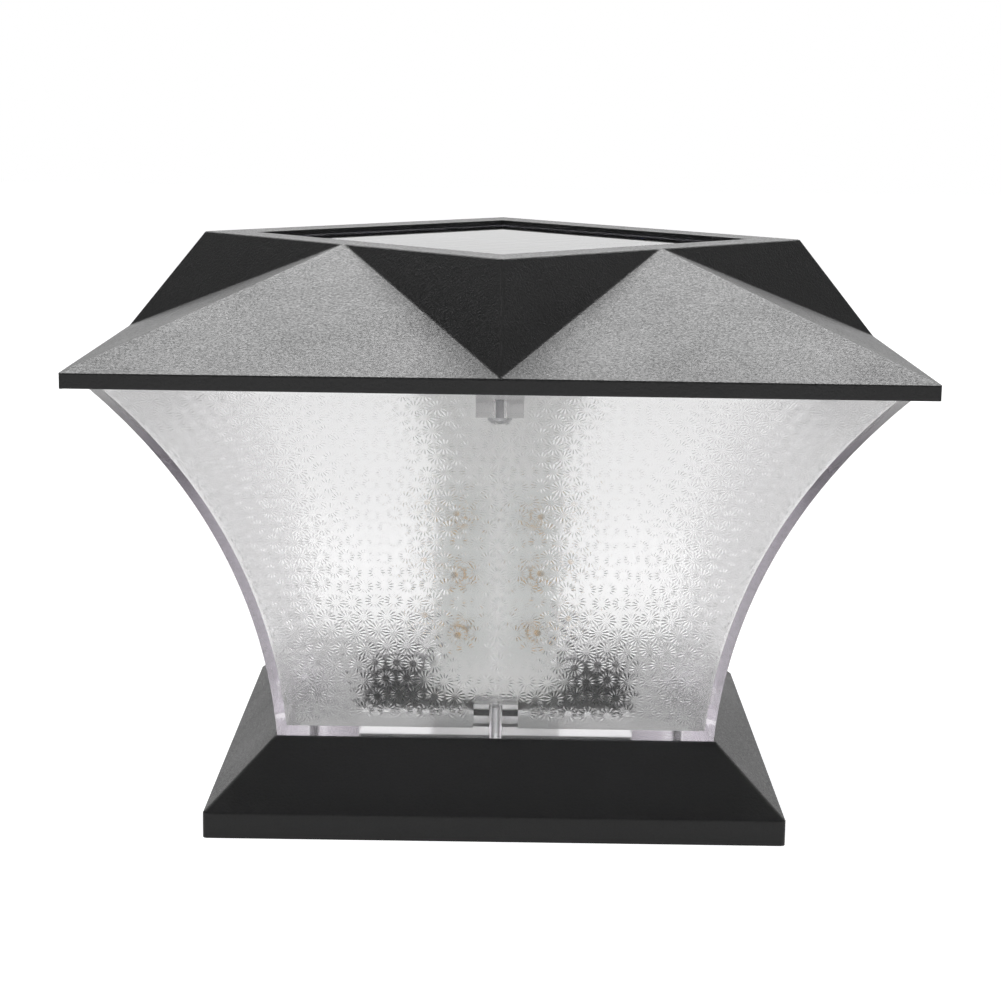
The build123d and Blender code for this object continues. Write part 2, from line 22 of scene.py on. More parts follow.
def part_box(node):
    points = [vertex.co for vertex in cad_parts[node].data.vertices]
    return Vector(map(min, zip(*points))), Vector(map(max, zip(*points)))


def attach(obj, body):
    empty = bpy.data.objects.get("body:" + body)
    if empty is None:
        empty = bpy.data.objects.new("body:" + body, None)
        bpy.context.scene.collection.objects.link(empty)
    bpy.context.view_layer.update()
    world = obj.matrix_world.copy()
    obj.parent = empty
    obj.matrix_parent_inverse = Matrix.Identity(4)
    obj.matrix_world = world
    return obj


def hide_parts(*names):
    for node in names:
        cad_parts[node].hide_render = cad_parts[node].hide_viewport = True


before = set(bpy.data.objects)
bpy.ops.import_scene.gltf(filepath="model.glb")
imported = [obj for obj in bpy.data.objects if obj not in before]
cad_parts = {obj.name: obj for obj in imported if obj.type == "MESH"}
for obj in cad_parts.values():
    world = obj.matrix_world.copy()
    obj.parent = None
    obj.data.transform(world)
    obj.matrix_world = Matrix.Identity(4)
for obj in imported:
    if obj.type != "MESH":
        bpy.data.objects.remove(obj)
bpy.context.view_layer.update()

MM = 0.001  # one millimetre, in metres
MERGE = 0.001  # in millimetres, the distance within which two points are one
INSIDE_TRIANGLES = 1  # asks for the triangles inside an outline
LED_BOARDS = 6
BODY = "light"  # the CAD body that every new piece rides on
WHITE = (1.0, 1.0, 1.0, 1.0)
log = logging.getLogger("solar_light")

Point = tuple[float, float, float]
PlanPoint = tuple[float, float]
Colour = tuple[float, float, float]
Socket = bpy.types.NodeSocket


class Lie(Enum):
    """How a can lies: flat along X, or upright along Z."""

    FLAT = "X"
    UPRIGHT = "Z"


class Side(Enum):
    """The side of the object that a lamp hangs on, as the sign of its place along Y."""

    BEHIND = 1.0
    BEFORE = -1.0


# Shader trees


class Tree:
    """The node tree of a material or a world, with one short call per node."""

    def __init__(self, owner: bpy.types.Material | bpy.types.World, output: str = "OutputMaterial") -> None:
        """Empty the tree, apart from its output.

        Args:
            owner: The material or the world.
            output: The output node's type without its ShaderNode prefix.
        """
        self.owner = owner
        owner.use_nodes = True
        self.nodes = owner.node_tree.nodes
        self.links = owner.node_tree.links
        self.nodes.clear()
        self.output = self.add(output)

    def add(self, kind: str, inputs: dict[str | int, object] | None = None,
            **settings: object) -> bpy.types.Node:
        """Add a node, set its plain inputs and link the others.

        Args:
            kind: The node's type without its ShaderNode prefix.
            inputs: Values or output sockets, by input name or number.
            **settings: Properties of the node itself.

        Returns:
            The new node.
        """
        node = self.nodes.new("ShaderNode" + kind)
        for key, value in settings.items():
            setattr(node, key, value)
        for key, value in (inputs or {}).items():
            if isinstance(value, Socket):
                self.links.new(value, node.inputs[key])
            else:
                node.inputs[key].default_value = value
        return node

    def calc(self, operation: str, *values: object, clamp: bool = False) -> Socket:
        """Add one step of arithmetic.

        Args:
            operation: The step's name, as the Math node has it.
            *values: The numbers or output sockets that it works on.
            clamp: Whether the result is kept between 0 and 1.

        Returns:
            The result.
        """
        return self.add("Math", dict(enumerate(values)), operation=operation, use_clamp=clamp).outputs[0]

    def place(self) -> Socket:
        """Return the object coordinates, in metres in the part's own frame."""
        return self.add("TexCoord").outputs["Object"]

    def millimetres(self, turn: float = 0.0) -> Socket:
        """Return the object coordinates in millimetres, seen from axes turned about Z.

        Args:
            turn: The turn in degrees.

        Returns:
            The coordinates.
        """
        mapping = self.add("Mapping", {"Vector": self.place(), "Rotation": (0.0, 0.0, -math.radians(turn)),
                                       "Scale": (1 / MM, 1 / MM, 1 / MM)})
        return mapping.outputs[0]

    def seen(self) -> Socket:
        """Tell the rays that show a surface, which are camera, glossy and transmission rays, from the rest.

        Returns:
            1 for those rays, 0 for the rest.
        """
        path = self.add("LightPath").outputs
        total = path["Is Camera Ray"]
        for name in ("Is Glossy Ray", "Is Transmission Ray"):
            total = self.calc("MAXIMUM", total, path[name])
        return total

    def surface(self, **inputs: object) -> bpy.types.Node:
        """Add the Principled shader and make it the surface.

        Args:
            **inputs: Its inputs by name, with underscores for spaces.

        Returns:
            The shader node.
        """
        shader = self.add("BsdfPrincipled", {key.replace("_", " "): value for key, value in inputs.items()})
        self.links.new(shader.outputs[0], self.output.inputs["Surface"])
        return shader

    def noise(self, size: float, detail: float = 2.0, roughness: float = 0.5) -> Socket:
        """Add an even noise.

        Args:
            size: The size of its grains in millimetres.
            detail: How many finer layers it has.
            roughness: How strong the finer layers are.

        Returns:
            Its value, about 0.5 on average.
        """
        node = self.add("TexNoise", {"Vector": self.place(), "Scale": 1 / (size * MM), "Detail": detail,
                                     "Roughness": roughness})
        return node.outputs["Fac"]

    def ranged(self, value: Socket, low: float | Socket, high: float, start: float = 0.3,
               end: float = 0.7) -> Socket:
        """Stretch a value from one range to another.

        Args:
            value: The value to stretch, a noise where its range isn't given.
            low: What start becomes.
            high: What end becomes.
            start: Where the value's range begins.
            end: Where it ends.

        Returns:
            The stretched value.
        """
        node = self.add("MapRange", {"Value": value, "From Min": start, "From Max": end,
                                     "To Min": low, "To Max": high})
        return node.outputs["Result"]

    def around(self, noise: Socket, middle: float, change: float) -> Socket:
        """Stretch a noise to a band round a middle value."""
        return self.ranged(noise, middle - change, middle + change)

    def eased(self, value: Socket, start: float, end: float, low: float = 0.0) -> Socket:
        """Ease a value in.

        Args:
            value: The value.
            start: Where it leaves its low value.
            end: Where it reaches 1, which may lie below the start.
            low: Its low value.

        Returns:
            The eased value.
        """
        node = self.add("MapRange", {"Value": value, "From Min": start, "From Max": end, "To Min": low},
                        interpolation_type="SMOOTHSTEP")
        return node.outputs["Result"]

    def blend(self, factor: Socket, low: Colour | Socket, high: Colour | Socket) -> Socket:
        """Mix two colours.

        Args:
            factor: 0 for the first colour, 1 for the second.
            low: The first colour, red, green and blue.
            high: The second colour.

        Returns:
            The mixed colour.
        """
        ends = {socket: colour if isinstance(colour, Socket) else (*colour, 1.0)
                for socket, colour in ((6, low), (7, high))}
        return self.add("Mix", {0: factor, **ends}, data_type="RGBA").outputs[2]

    def bump(self, height: Socket, depth: float) -> Socket:
        """Turn a height from 0 to 1, which is so many millimetres deep, into a bumped normal."""
        return self.add("Bump", {"Height": height, "Distance": depth * MM, "Strength": 1.0}).outputs[0]


# Finishes


def scaled(colour: Colour, share: float) -> Colour:
    """Return a colour at a share of its brightness."""
    return tuple(share * part for part in colour)


@dataclass(frozen=True)
class Finish:
    """A finish that becomes one material, which has its name."""

    name: str

    def lay(self, tree: Tree) -> None:
        """Lay the finish out in a material's nodes, which each kind of finish does in its own way."""
        raise NotImplementedError(self.name)

    def material(self) -> bpy.types.Material:
        """Build the finish's material.

        Returns:
            The material.
        """
        tree = Tree(bpy.data.materials.new(self.name))
        self.lay(tree)
        return tree.owner


@dataclass(frozen=True)
class GrainedPlastic(Finish):
    """A moulded plastic with the fine sand grain of its mould."""

    colour: Colour = (0.009, 0.009, 0.0092)
    roughness: float = 0.46
    grain: float = 0.75
    depth: float = 0.14
    sheen_change: float = 0.16
    specular: float = 0.44
    cloud: float = 28.0
    cloud_change: float = 0.03
    shades: tuple[float, float] = (0.6, 1.6)

    def lay(self, tree: Tree) -> None:
        """Lay out the grain, in colour, sheen and relief, and wide faint clouds in the sheen.

        Args:
            tree: The material's nodes.
        """
        fine = tree.noise(self.grain, detail=3.0, roughness=0.7)
        cloud = tree.noise(self.cloud, roughness=0.6)
        colours = (scaled(self.colour, share) for share in self.shades)
        dull = tree.calc("ADD", tree.around(cloud, self.roughness, self.cloud_change),
                         tree.around(fine, 0.0, self.sheen_change))
        tree.surface(Base_Color=tree.blend(tree.ranged(fine, 0.0, 1.0), *colours), Roughness=dull,
                     Specular_IOR_Level=self.specular, Normal=tree.bump(fine, self.depth))


@dataclass(frozen=True)
class SatinPlastic(Finish):
    """A smooth moulded plastic, with faint waves and a slight change of sheen."""

    colour: Colour
    roughness: float = 0.35
    wave: float = 9.0
    depth: float = 0.03
    spread: float = 0.06
    finer: float = 20.0
    sheen_change: float = 0.05

    def lay(self, tree: Tree) -> None:
        """Lay out the waves, in colour and relief, and a finer noise in the sheen.

        Args:
            tree: The material's nodes.
        """
        cloud = tree.noise(self.wave, detail=3.0)
        fine = tree.noise(self.wave / self.finer)
        colour = tree.blend(tree.ranged(cloud, 0.0, 1.0), scaled(self.colour, 1 - self.spread), self.colour)
        tree.surface(Base_Color=colour, Roughness=tree.around(fine, self.roughness, self.sheen_change),
                     Normal=tree.bump(cloud, self.depth))


@dataclass(frozen=True)
class ClearPlastic(Finish):
    """A clear plastic that is faintly tinted through its depth, and rougher where its frost is 1."""

    roughness: float = 0.05
    frosted: float = 0.21
    ior: float = 1.49
    tint: Colour = (0.40, 0.33, 0.43)
    density: float = 7.0
    smear: float = 6.0
    smear_range: tuple[float, float] = (0.6, 1.4)
    petals: int = 0
    petal_lean: float = 0.16
    petal_rings: tuple[float, float, float, float] = (0.9, 1.5, 2.7, 3.4)

    def petal_normal(self, tree: Tree, field_weight: Socket) -> Socket:
        """Round the petals of the flowers, from each flower's own UV coordinates in millimetres.

        Args:
            tree: The material's nodes.
            field_weight: 1 in the patterned field, 0 outside it.

        Returns:
            The bumped normal.
        """
        place = tree.add("UVMap", uv_map="flower").outputs[0]
        radius = tree.add("VectorMath", {0: place}, operation="LENGTH").outputs["Value"]
        parts = tree.add("SeparateXYZ", {0: place}).outputs
        turns = tree.calc("MULTIPLY", tree.calc("ARCTAN2", parts["Y"], parts["X"]), float(self.petals))
        start, full, fade, end = self.petal_rings
        height = tree.calc("MULTIPLY", tree.eased(radius, start, full), tree.eased(radius, end, fade))
        for factor in (field_weight, radius, tree.calc("COSINE", turns)):
            height = tree.calc("MULTIPLY", height, factor)
        return tree.bump(height, self.petal_lean / self.petals)

    def lay(self, tree: Tree) -> None:
        """Lay out the smears, the frost, the petals where it has any, and the tint.

        Args:
            tree: The material's nodes.
        """
        low, high = (self.roughness * share for share in self.smear_range)
        clear = tree.ranged(tree.noise(self.smear, detail=3.0), low, high)
        frost = tree.add("Attribute", attribute_name="frost").outputs["Fac"]
        rough = tree.ranged(frost, clear, self.frosted, start=0.0, end=1.0)
        shader = tree.surface(Base_Color=WHITE, Transmission_Weight=1.0, IOR=self.ior, Roughness=rough)
        if self.petals:
            tree.links.new(self.petal_normal(tree, frost), shader.inputs["Normal"])
        absorption = tree.add("VolumeAbsorption", {"Color": (*self.tint, 1.0), "Density": self.density})
        tree.links.new(absorption.outputs[0], tree.output.inputs["Volume"])


@dataclass(frozen=True)
class Metal(Finish):
    """A plated or drawn metal with fine scratches."""

    colour: Colour = (0.62, 0.62, 0.63)
    roughness: float = 0.28
    scratch: float = 0.5
    depth: float = 0.01
    sheen_change: float = 0.08
    dark: float = 0.85

    def lay(self, tree: Tree) -> None:
        """Lay out the scratches, in colour, sheen and relief.

        Args:
            tree: The material's nodes.
        """
        fine = tree.noise(self.scratch, detail=3.0)
        tree.surface(Base_Color=tree.blend(fine, scaled(self.colour, self.dark), self.colour), Metallic=1.0,
                     Roughness=tree.around(fine, self.roughness, self.sheen_change),
                     Normal=tree.bump(fine, self.depth))


@dataclass(frozen=True)
class PrintedWafer(Finish):
    """Dark blue silicon with fine printed fingers and one wide bar along each row of cells."""

    colour: Colour = (0.02, 0.026, 0.085)
    print_colour: Colour = (0.5, 0.51, 0.54)
    print_height: float = 0.02
    finger_pitch: float = 2.0
    finger_width: float = 0.16
    row_pitch: float = 17.82
    bar_width: float = 1.1
    turn: float = 45.0
    cloud: float = 14.0
    shades: tuple[float, float] = (0.7, 1.3)
    sheens: tuple[float, float] = (0.22, 0.4)

    def lay(self, tree: Tree) -> None:
        """Lay out the clouded silicon and the print over it.

        Args:
            tree: The material's nodes.
        """
        parts = tree.add("SeparateXYZ", {0: tree.millimetres(self.turn)}).outputs
        across = tree.calc("PINGPONG", parts["X"], self.finger_pitch / 2)
        along = tree.calc("PINGPONG", parts["Y"], self.row_pitch / 2)
        finger = tree.calc("LESS_THAN", across, self.finger_width / 2)
        bar = tree.calc("GREATER_THAN", along, (self.row_pitch - self.bar_width) / 2)
        lines = tree.calc("MAXIMUM", finger, bar)
        silicon = tree.blend(tree.ranged(tree.noise(self.cloud), 0.0, 1.0),
                             *(scaled(self.colour, share) for share in self.shades))
        tree.surface(Base_Color=tree.blend(lines, silicon, self.print_colour),
                     Roughness=tree.ranged(lines, *self.sheens, start=0.0, end=1.0),
                     Normal=tree.bump(lines, self.print_height))


@dataclass(frozen=True)
class CircuitBoard(Finish):
    """A solder mask over copper tracks, which show as paler lines."""

    mask: Colour = (0.02, 0.15, 0.07)
    dark: float = 0.8
    track: Colour = (0.05, 0.3, 0.14)
    track_width: float = 0.5
    track_edge: float = 0.2
    relief: float = 0.04
    cell: PlanPoint = (7.0, 2.6)
    cell_shift: float = 0.37
    weave: float = 0.8
    sheens: tuple[float, float] = (0.3, 0.42)

    def lay(self, tree: Tree) -> None:
        """Lay out the tracks between cells of mask, and the weave in the sheen.

        Args:
            tree: The material's nodes.
        """
        wide, deep = self.cell
        tracks = tree.add("TexBrick", {
            "Vector": tree.millimetres(), "Scale": 1.0, "Brick Width": wide, "Row Height": deep,
            "Mortar Size": self.track_width / 2, "Mortar Smooth": self.track_edge,
            "Color1": (*self.mask, 1.0), "Color2": (*scaled(self.mask, self.dark), 1.0),
            "Mortar": (*self.track, 1.0)}, offset=self.cell_shift)
        tree.surface(Base_Color=tracks.outputs["Color"],
                     Roughness=tree.ranged(tree.noise(self.weave), *self.sheens),
                     Normal=tree.bump(tracks.outputs["Fac"], self.relief))


@dataclass(frozen=True)
class SleevedCan(Finish):
    """A drawn can in a shrunk plastic sleeve that leaves its ends bare."""

    sleeve: Colour
    lie: Lie
    bare_from: float
    metal: Colour = (0.6, 0.61, 0.62)
    dark: float = 0.8
    crease: float = 5.0
    crease_depth: float = 0.08
    grain: float = 0.5
    sheens: tuple[float, float] = (0.22, 0.34)

    def lay(self, tree: Tree) -> None:
        """Lay out the creased sleeve, with painted shade in its creases, and the metal beyond its ends.

        Args:
            tree: The material's nodes.
        """
        along = tree.add("SeparateXYZ", {0: tree.place()}).outputs[self.lie.value]
        bare = tree.calc("GREATER_THAN", tree.calc("ABSOLUTE", along), self.bare_from * MM)
        creases = tree.noise(self.crease, detail=3.0)
        # Painted shade: the sleeve's colour is darker where its creases sink, by the share in dark.
        sleeve = tree.blend(tree.ranged(creases, 0.0, 1.0), scaled(self.sleeve, self.dark), self.sleeve)
        tree.surface(Base_Color=tree.blend(bare, sleeve, self.metal), Metallic=bare,
                     Roughness=tree.ranged(tree.noise(self.grain), *self.sheens),
                     Normal=tree.bump(creases, self.crease_depth))


# Building and dressing pieces


def add_object(name: str, data: bpy.types.ID) -> bpy.types.Object:
    """Put a mesh, a camera or a lamp into the scene.

    Args:
        name: The object's name.
        data: What it shows.

    Returns:
        The object.
    """
    made = bpy.data.objects.new(name, data)
    bpy.context.scene.collection.objects.link(made)
    return made


def finished_mesh(name: str, mesh: bmesh.types.BMesh) -> bpy.types.Mesh:
    """Turn a bmesh into a mesh, and free it.

    Args:
        name: The mesh's name.
        mesh: The bmesh.

    Returns:
        The mesh.
    """
    data = bpy.data.meshes.new(name)
    mesh.to_mesh(data)
    mesh.free()
    return data


def make_piece(name: str, mesh: bmesh.types.BMesh, material: bpy.types.Material,
               replaced: Iterable[str] = ()) -> bpy.types.Object:
    """Turn a finished bmesh in millimetres into a piece that rides on the light's body.

    Args:
        name: The piece's name.
        mesh: Its bmesh, which is freed.
        material: Its material.
        replaced: CAD nodes that it stands for.

    Returns:
        The piece.
    """
    bmesh.ops.scale(mesh, vec=(MM, MM, MM), verts=mesh.verts)
    data = finished_mesh(name, mesh)
    data.materials.append(material)
    piece = add_object(name, data)
    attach(piece, BODY)
    if replaced:
        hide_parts(*replaced)
    log.info("piece %s: %d faces on %s", name, len(data.polygons), BODY)
    return piece


def dress(material: bpy.types.Material, *nodes: str) -> None:
    """Give CAD nodes their material.

    Args:
        material: The material.
        *nodes: The nodes' names.
    """
    for node in nodes:
        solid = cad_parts[node]
        solid.data.materials.clear()
        solid.data.materials.append(material)
        log.info("node %s: %s", node, material.name)


def open_edges(mesh: bmesh.types.BMesh) -> int:
    """Count the edges that don't join exactly two faces."""
    return sum(len(edge.link_faces) != 2 for edge in mesh.edges)


def fill(mesh: bmesh.types.BMesh, *loops: Sequence[Point]) -> None:
    """Fill a flat region with triangles.

    Args:
        mesh: The bmesh to add to.
        *loops: The region's outline, then its holes, as closed loops of points.
    """
    edges = []
    for loop in loops:
        verts = [mesh.verts.new(point) for point in loop]
        edges += [mesh.edges.new((verts[index - 1], vert)) for index, vert in enumerate(verts)]
    bmesh.ops.triangle_fill(mesh, use_beauty=True, edges=edges)


def circle(radius: float, level: float, x: float, y: float, count: int = 32) -> list[Point]:
    """Return points round a level circle."""
    turns = [math.tau * index / count for index in range(count)]
    return [(x + radius * math.cos(turn), y + radius * math.sin(turn), level) for turn in turns]


def tube(mesh: bmesh.types.BMesh, low: Sequence[Point], high: Sequence[Point]) -> None:
    """Join two loops of as many points with a wall of quads.

    Args:
        mesh: The bmesh to add to.
        low: The first loop.
        high: The second loop.
    """
    bottom = [mesh.verts.new(point) for point in low]
    top = [mesh.verts.new(point) for point in high]
    for index in range(len(low)):
        mesh.faces.new((bottom[index - 1], bottom[index], top[index], top[index - 1]))


# The shade


def ends(half: float, level: float) -> list[Point]:
    """Return the left and the right mitred end of a level line of the front quarter."""
    return [(-half, -half, level), (half, -half, level)]


@dataclass
class FlatMesh:
    """A flat wall's points, how far each stands up, and the edges that its triangles keep."""

    points: list[Vector] = field(default_factory=list)
    rises: list[float] = field(default_factory=list)
    edges: list[tuple[int, int]] = field(default_factory=list)

    def add_point(self, place: PlanPoint, rise: float = 0.0) -> int:
        """Add a point and return its number.

        Args:
            place: Its place across and along the wall.
            rise: How far it stands up.

        Returns:
            Its number.
        """
        self.points.append(Vector(place))
        self.rises.append(rise)
        return len(self.points) - 1

    def add_loop(self, corners: Sequence[int]) -> None:
        """Keep the edges round a closed loop of numbered points."""
        self.edges += [(corners[step - 1], corners[step]) for step in range(len(corners))]


@dataclass
class Shade:
    """The clear flared shade: four curved walls that meet in mitred corners, a floor and eight tabs."""

    seat: float = 27.0
    seat_gap: float = 0.06
    height: float = 117.0
    bottom_half: float = 68.9
    middle_half: float = 82.4
    top_half: float = 118.4
    wall: float = 3.0
    floor: float = 3.0
    opening_half: float = 44.0
    opening_rim: float = 0.1
    tab_half: float = 7.0
    tab_height: float = 8.0
    tab_land: float = 5.0
    top_hole: float = 2.15
    low_hole: float = 2.05
    low_hole_top: float = 37.5
    head_radius: float = 3.6
    rows: int = 48
    border_rows: int = 20
    flower_pitch: float = 6.3
    flower_radius: float = 2.9
    flower_core: float = 1.0
    petal_crest: float = 2.0
    petal_count: int = 14
    petal_height: float = 0.04
    petal_inset: float = 0.3
    top_fade: float = 45.0
    field_margin: float = 3.3
    field_gap: float = 1.2
    jitter: float = 0.9
    seed: int = 5
    closeness: float = 1e-5
    crease: float = 20.0

    def __post_init__(self) -> None:
        """Work out the arc that the outside follows, from three of its points, and the tabs' places."""
        self.bottom = self.seat
        self.top = self.bottom + self.height
        middle = (self.bottom + self.top) / 2
        below = ((self.bottom_half ** 2 - self.middle_half ** 2) + (self.bottom ** 2 - middle ** 2)) / 2
        above = ((self.top_half ** 2 - self.middle_half ** 2) + (self.top ** 2 - middle ** 2)) / 2
        spread = ((self.bottom_half - self.middle_half) * (self.top - middle)
                  - (self.top_half - self.middle_half) * (self.bottom - middle))
        self.arc_x = (below * (self.top - middle) - above * (self.bottom - middle)) / spread
        self.arc_z = ((self.bottom_half - self.middle_half) * above
                      - (self.top_half - self.middle_half) * below) / spread
        self.arc_radius = math.hypot(self.arc_x - self.middle_half, self.arc_z - middle)
        self.inner_radius = self.arc_radius + self.wall
        self.floor_top = self.bottom + self.floor
        # The outside starts a small gap above the seat, and ends where it would without it.
        self.bottom += self.seat_gap
        self.height -= self.seat_gap
        self.start_angle = self.angle_at(self.floor_top)
        self.field_length = self.length_at(self.top)
        self.low_tab_end = self.length_at(self.floor_top + self.tab_height)
        self.top_tab_end = self.length_at(self.top - self.tab_height)
        top_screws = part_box("shade_top_screws")[0]
        low_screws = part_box("shade_base_screws")[0]
        self.top_place = -top_screws.y / MM - self.head_radius
        self.low_place = -low_screws.y / MM - self.head_radius

    def angle_at(self, level: float) -> float:
        """Return the angle on the inner arc at a level."""
        return math.asin((level - self.arc_z) / self.inner_radius)

    def length_at(self, level: float) -> float:
        """Return how far along the inner arc a level is, from the floor."""
        return (self.angle_at(level) - self.start_angle) * self.inner_radius

    def outer_half(self, level: float) -> float:
        """Return the outside's half width at a level."""
        return self.arc_x - math.sqrt(self.arc_radius ** 2 - (level - self.arc_z) ** 2)

    def inner_half(self, along: float) -> float:
        """Return the inside's half width at a length along the inner arc."""
        return self.arc_x - self.inner_radius * math.cos(self.start_angle + along / self.inner_radius)

    def on_wall(self, across: float, along: float, rise: float) -> Point:
        """Bend a point of the flat wall onto the front wall's inner arc.

        Args:
            across: Its place across the wall.
            along: Its place along the arc, from the floor.
            rise: How far it stands in from the wall.

        Returns:
            The point in space.
        """
        angle = self.start_angle + along / self.inner_radius
        radius = self.inner_radius + rise
        return across, radius * math.cos(angle) - self.arc_x, self.arc_z + radius * math.sin(angle)

    def outline(self) -> list[PlanPoint]:
        """Draw the flat wall's outline, notched round its two tabs.

        Returns:
            The outline, from its lower left corner round to the right.
        """
        half, high = self.tab_half, self.field_length
        steps = [high * index / self.border_rows for index in range(self.border_rows + 1)]
        right = [(self.inner_half(step), step) for step in steps]
        left = [(-across, step) for across, step in reversed(right)]
        low_notch = [(-half, 0.0), (-half, self.low_tab_end), (half, self.low_tab_end), (half, 0.0)]
        top_notch = [(half, high), (half, self.top_tab_end), (-half, self.top_tab_end), (-half, high)]
        return low_notch + right + top_notch + left

    def in_field(self, across: float, along: float, inset: float = 0.0) -> bool:
        """Say whether a point of the flat wall lies in the patterned field.

        Args:
            across: Its place across the wall.
            along: Its place along the arc.
            inset: How far inside the field it has to lie.

        Returns:
            Whether it does.
        """
        gap = self.field_gap + inset
        if not gap < along < self.field_length - gap:
            return False
        if abs(across) > self.inner_half(along) - self.field_margin - inset:
            return False
        beside_tabs = abs(across) > self.tab_half + gap
        return beside_tabs or self.low_tab_end + gap < along < self.top_tab_end - gap

    def flowers(self) -> list[tuple[float, float, float]]:
        """Lay the flowers out in close rows, each a little off its place.

        Returns:
            Each flower's place across and along, and its turn.
        """
        draw = random.Random(self.seed)
        places = []
        row_pitch = self.flower_pitch * math.sqrt(3) / 2
        for row in range(-1, int(self.field_length / row_pitch) + 2):
            along = row * row_pitch
            count = int(self.top_half / self.flower_pitch) + 2
            for column in range(-count, count + 1):
                across = (column + 0.5 * (row % 2)) * self.flower_pitch
                places.append((across + draw.uniform(-self.jitter, self.jitter),
                               along + draw.uniform(-self.jitter, self.jitter), draw.uniform(0, math.tau)))
        return places

    def add_flower(self, flower: tuple[float, float, float], centres: KDTree, flat: FlatMesh) -> None:
        """Add one flower's petals that lie in the field, each a low four-sided crest.

        Args:
            flower: The flower's place across and along the wall, and its turn.
            centres: Every flower's centre, which keeps each petal to its nearest flower.
            flat: The flat wall that it adds to.
        """
        across, along, turn = flower
        spokes = [turn + math.tau * index / self.petal_count for index in range(self.petal_count)]

        def spot(radius: float, angle: float) -> PlanPoint:
            """Return the point at a distance and an angle from the flower's centre."""
            return across + radius * math.cos(angle), along + radius * math.sin(angle)

        rings = [[spot(radius, angle) for angle in spokes]
                 for radius in (self.flower_core, self.flower_radius)]
        inside = [self.in_field(*low, self.petal_inset) and self.in_field(*high, self.petal_inset)
                  and math.dist(centres.find((*high, 0.0))[0][:2], (across, along)) < MERGE
                  for low, high in zip(*rings)]
        known: dict[tuple[int, int], int] = {}
        for index in range(self.petal_count):
            before = index - 1 if index else self.petal_count - 1
            if not (inside[index] and inside[before]):
                continue
            corners = [(0, before), (1, before), (1, index), (0, index)]
            for ring, spoke in corners:
                if (ring, spoke) not in known:
                    known[ring, spoke] = flat.add_point(rings[ring][spoke])
            flat.add_loop([known[corner] for corner in corners])
            crest = spot(self.petal_crest, spokes[index] - math.pi / self.petal_count)
            flat.add_point(crest, self.petal_height * min(1.0, (self.field_length - along) / self.top_fade))

    def add_patterned_wall(self, mesh: bmesh.types.BMesh) -> None:
        """Add the front wall's inside, with its field of flowers.

        Args:
            mesh: The bmesh to add to.
        """
        flat = FlatMesh()
        flat.add_loop([flat.add_point(point) for point in self.outline()])
        flowers = self.flowers()
        centres = KDTree(len(flowers))
        for index, (across, along, _) in enumerate(flowers):
            centres.insert((across, along, 0.0), index)
        centres.balance()
        for flower in flowers:
            self.add_flower(flower, centres, flat)
        places, _, faces, sources, _, _ = delaunay_2d_cdt(flat.points, flat.edges, [], INSIDE_TRIANGLES,
                                                          self.closeness)
        frost = mesh.verts.layers.float["frost"]
        verts = []
        for place, source in zip(places, sources):
            rise = flat.rises[source[0]] if source else 0.0
            verts.append(mesh.verts.new(self.on_wall(place.x, place.y, rise)))
            verts[-1][frost] = float(self.in_field(place.x, place.y))
        petals = mesh.loops.layers.uv["flower"]
        for face in faces:
            made = mesh.faces.new([verts[index] for index in face])
            middle = sum((places[index] for index in face), Vector((0.0, 0.0))) / len(face)
            centre, nearest, _ = centres.find((*middle, 0.0))
            back = Matrix.Rotation(-(flowers[nearest][2] - math.pi / self.petal_count), 2)
            for loop, index in zip(made.loops, face):
                loop[petals].uv = back @ (places[index] - centre.to_2d())
        log.info("flat wall: %d points, %d triangles", len(places), len(faces))

    def tab_plan(self, back: float, end: float, level: float) -> list[Point]:
        """Return a tab's corners at a level, from left to right at the wall and back at its end."""
        half = self.tab_half
        return [(-half, back, level), (half, back, level), (half, end, level), (-half, end, level)]

    def add_tab(self, mesh: bmesh.types.BMesh, low: float, high: float, end: float) -> tuple[float, float]:
        """Add a front tab's two sides and its end face.

        Args:
            mesh: The bmesh to add to.
            low: The tab's lower level.
            high: Its upper level.
            end: Where its end face stands.

        Returns:
            Where the wall stands at its lower and its upper level.
        """
        back_low, back_high = (-self.inner_half(self.length_at(level)) for level in (low, high))
        half = self.tab_half
        for side in (-half, half):
            fill(mesh, [(side, back_low, low), (side, back_high, high),
                        (side, end, high), (side, end, low)])
        fill(mesh, [(-half, end, low), (half, end, low), (half, end, high), (-half, end, high)])
        return back_low, back_high

    def add_top_tab(self, mesh: bmesh.types.BMesh) -> list[Point]:
        """Add the front wall's upper tab, below its top face.

        Args:
            mesh: The bmesh to add to.

        Returns:
            The tab's outline at the rim, from left to right.
        """
        low = self.top - self.tab_height
        end = -(self.top_place - self.tab_land)
        back_low, back_high = self.add_tab(mesh, low, self.top, end)
        hole_low = circle(self.top_hole, low, 0, -self.top_place)
        fill(mesh, self.tab_plan(back_low, end, low), hole_low)
        tube(mesh, hole_low, circle(self.top_hole, self.top, 0, -self.top_place))
        left_back, right_back, right_end, left_end = self.tab_plan(back_high, end, self.top)
        return [left_back, left_end, right_end, right_back]

    def add_low_tab(self, mesh: bmesh.types.BMesh) -> list[Point]:
        """Add the front wall's lower tab, above the floor.

        Args:
            mesh: The bmesh to add to.

        Returns:
            The tab's outline at the floor, from left to right.
        """
        top = self.floor_top + self.tab_height
        end = -(self.low_place - self.tab_land)
        back_low, back_high = self.add_tab(mesh, self.floor_top, top, end)
        fill(mesh, self.tab_plan(back_high, end, top))
        hole_top = circle(self.low_hole, self.low_hole_top, 0, -self.low_place)
        fill(mesh, hole_top)
        tube(mesh, circle(self.low_hole, self.bottom, 0, -self.low_place), hole_top)
        left_back, right_back, right_end, left_end = self.tab_plan(back_low, end, self.floor_top)
        return [left_back, left_end, right_end, right_back]

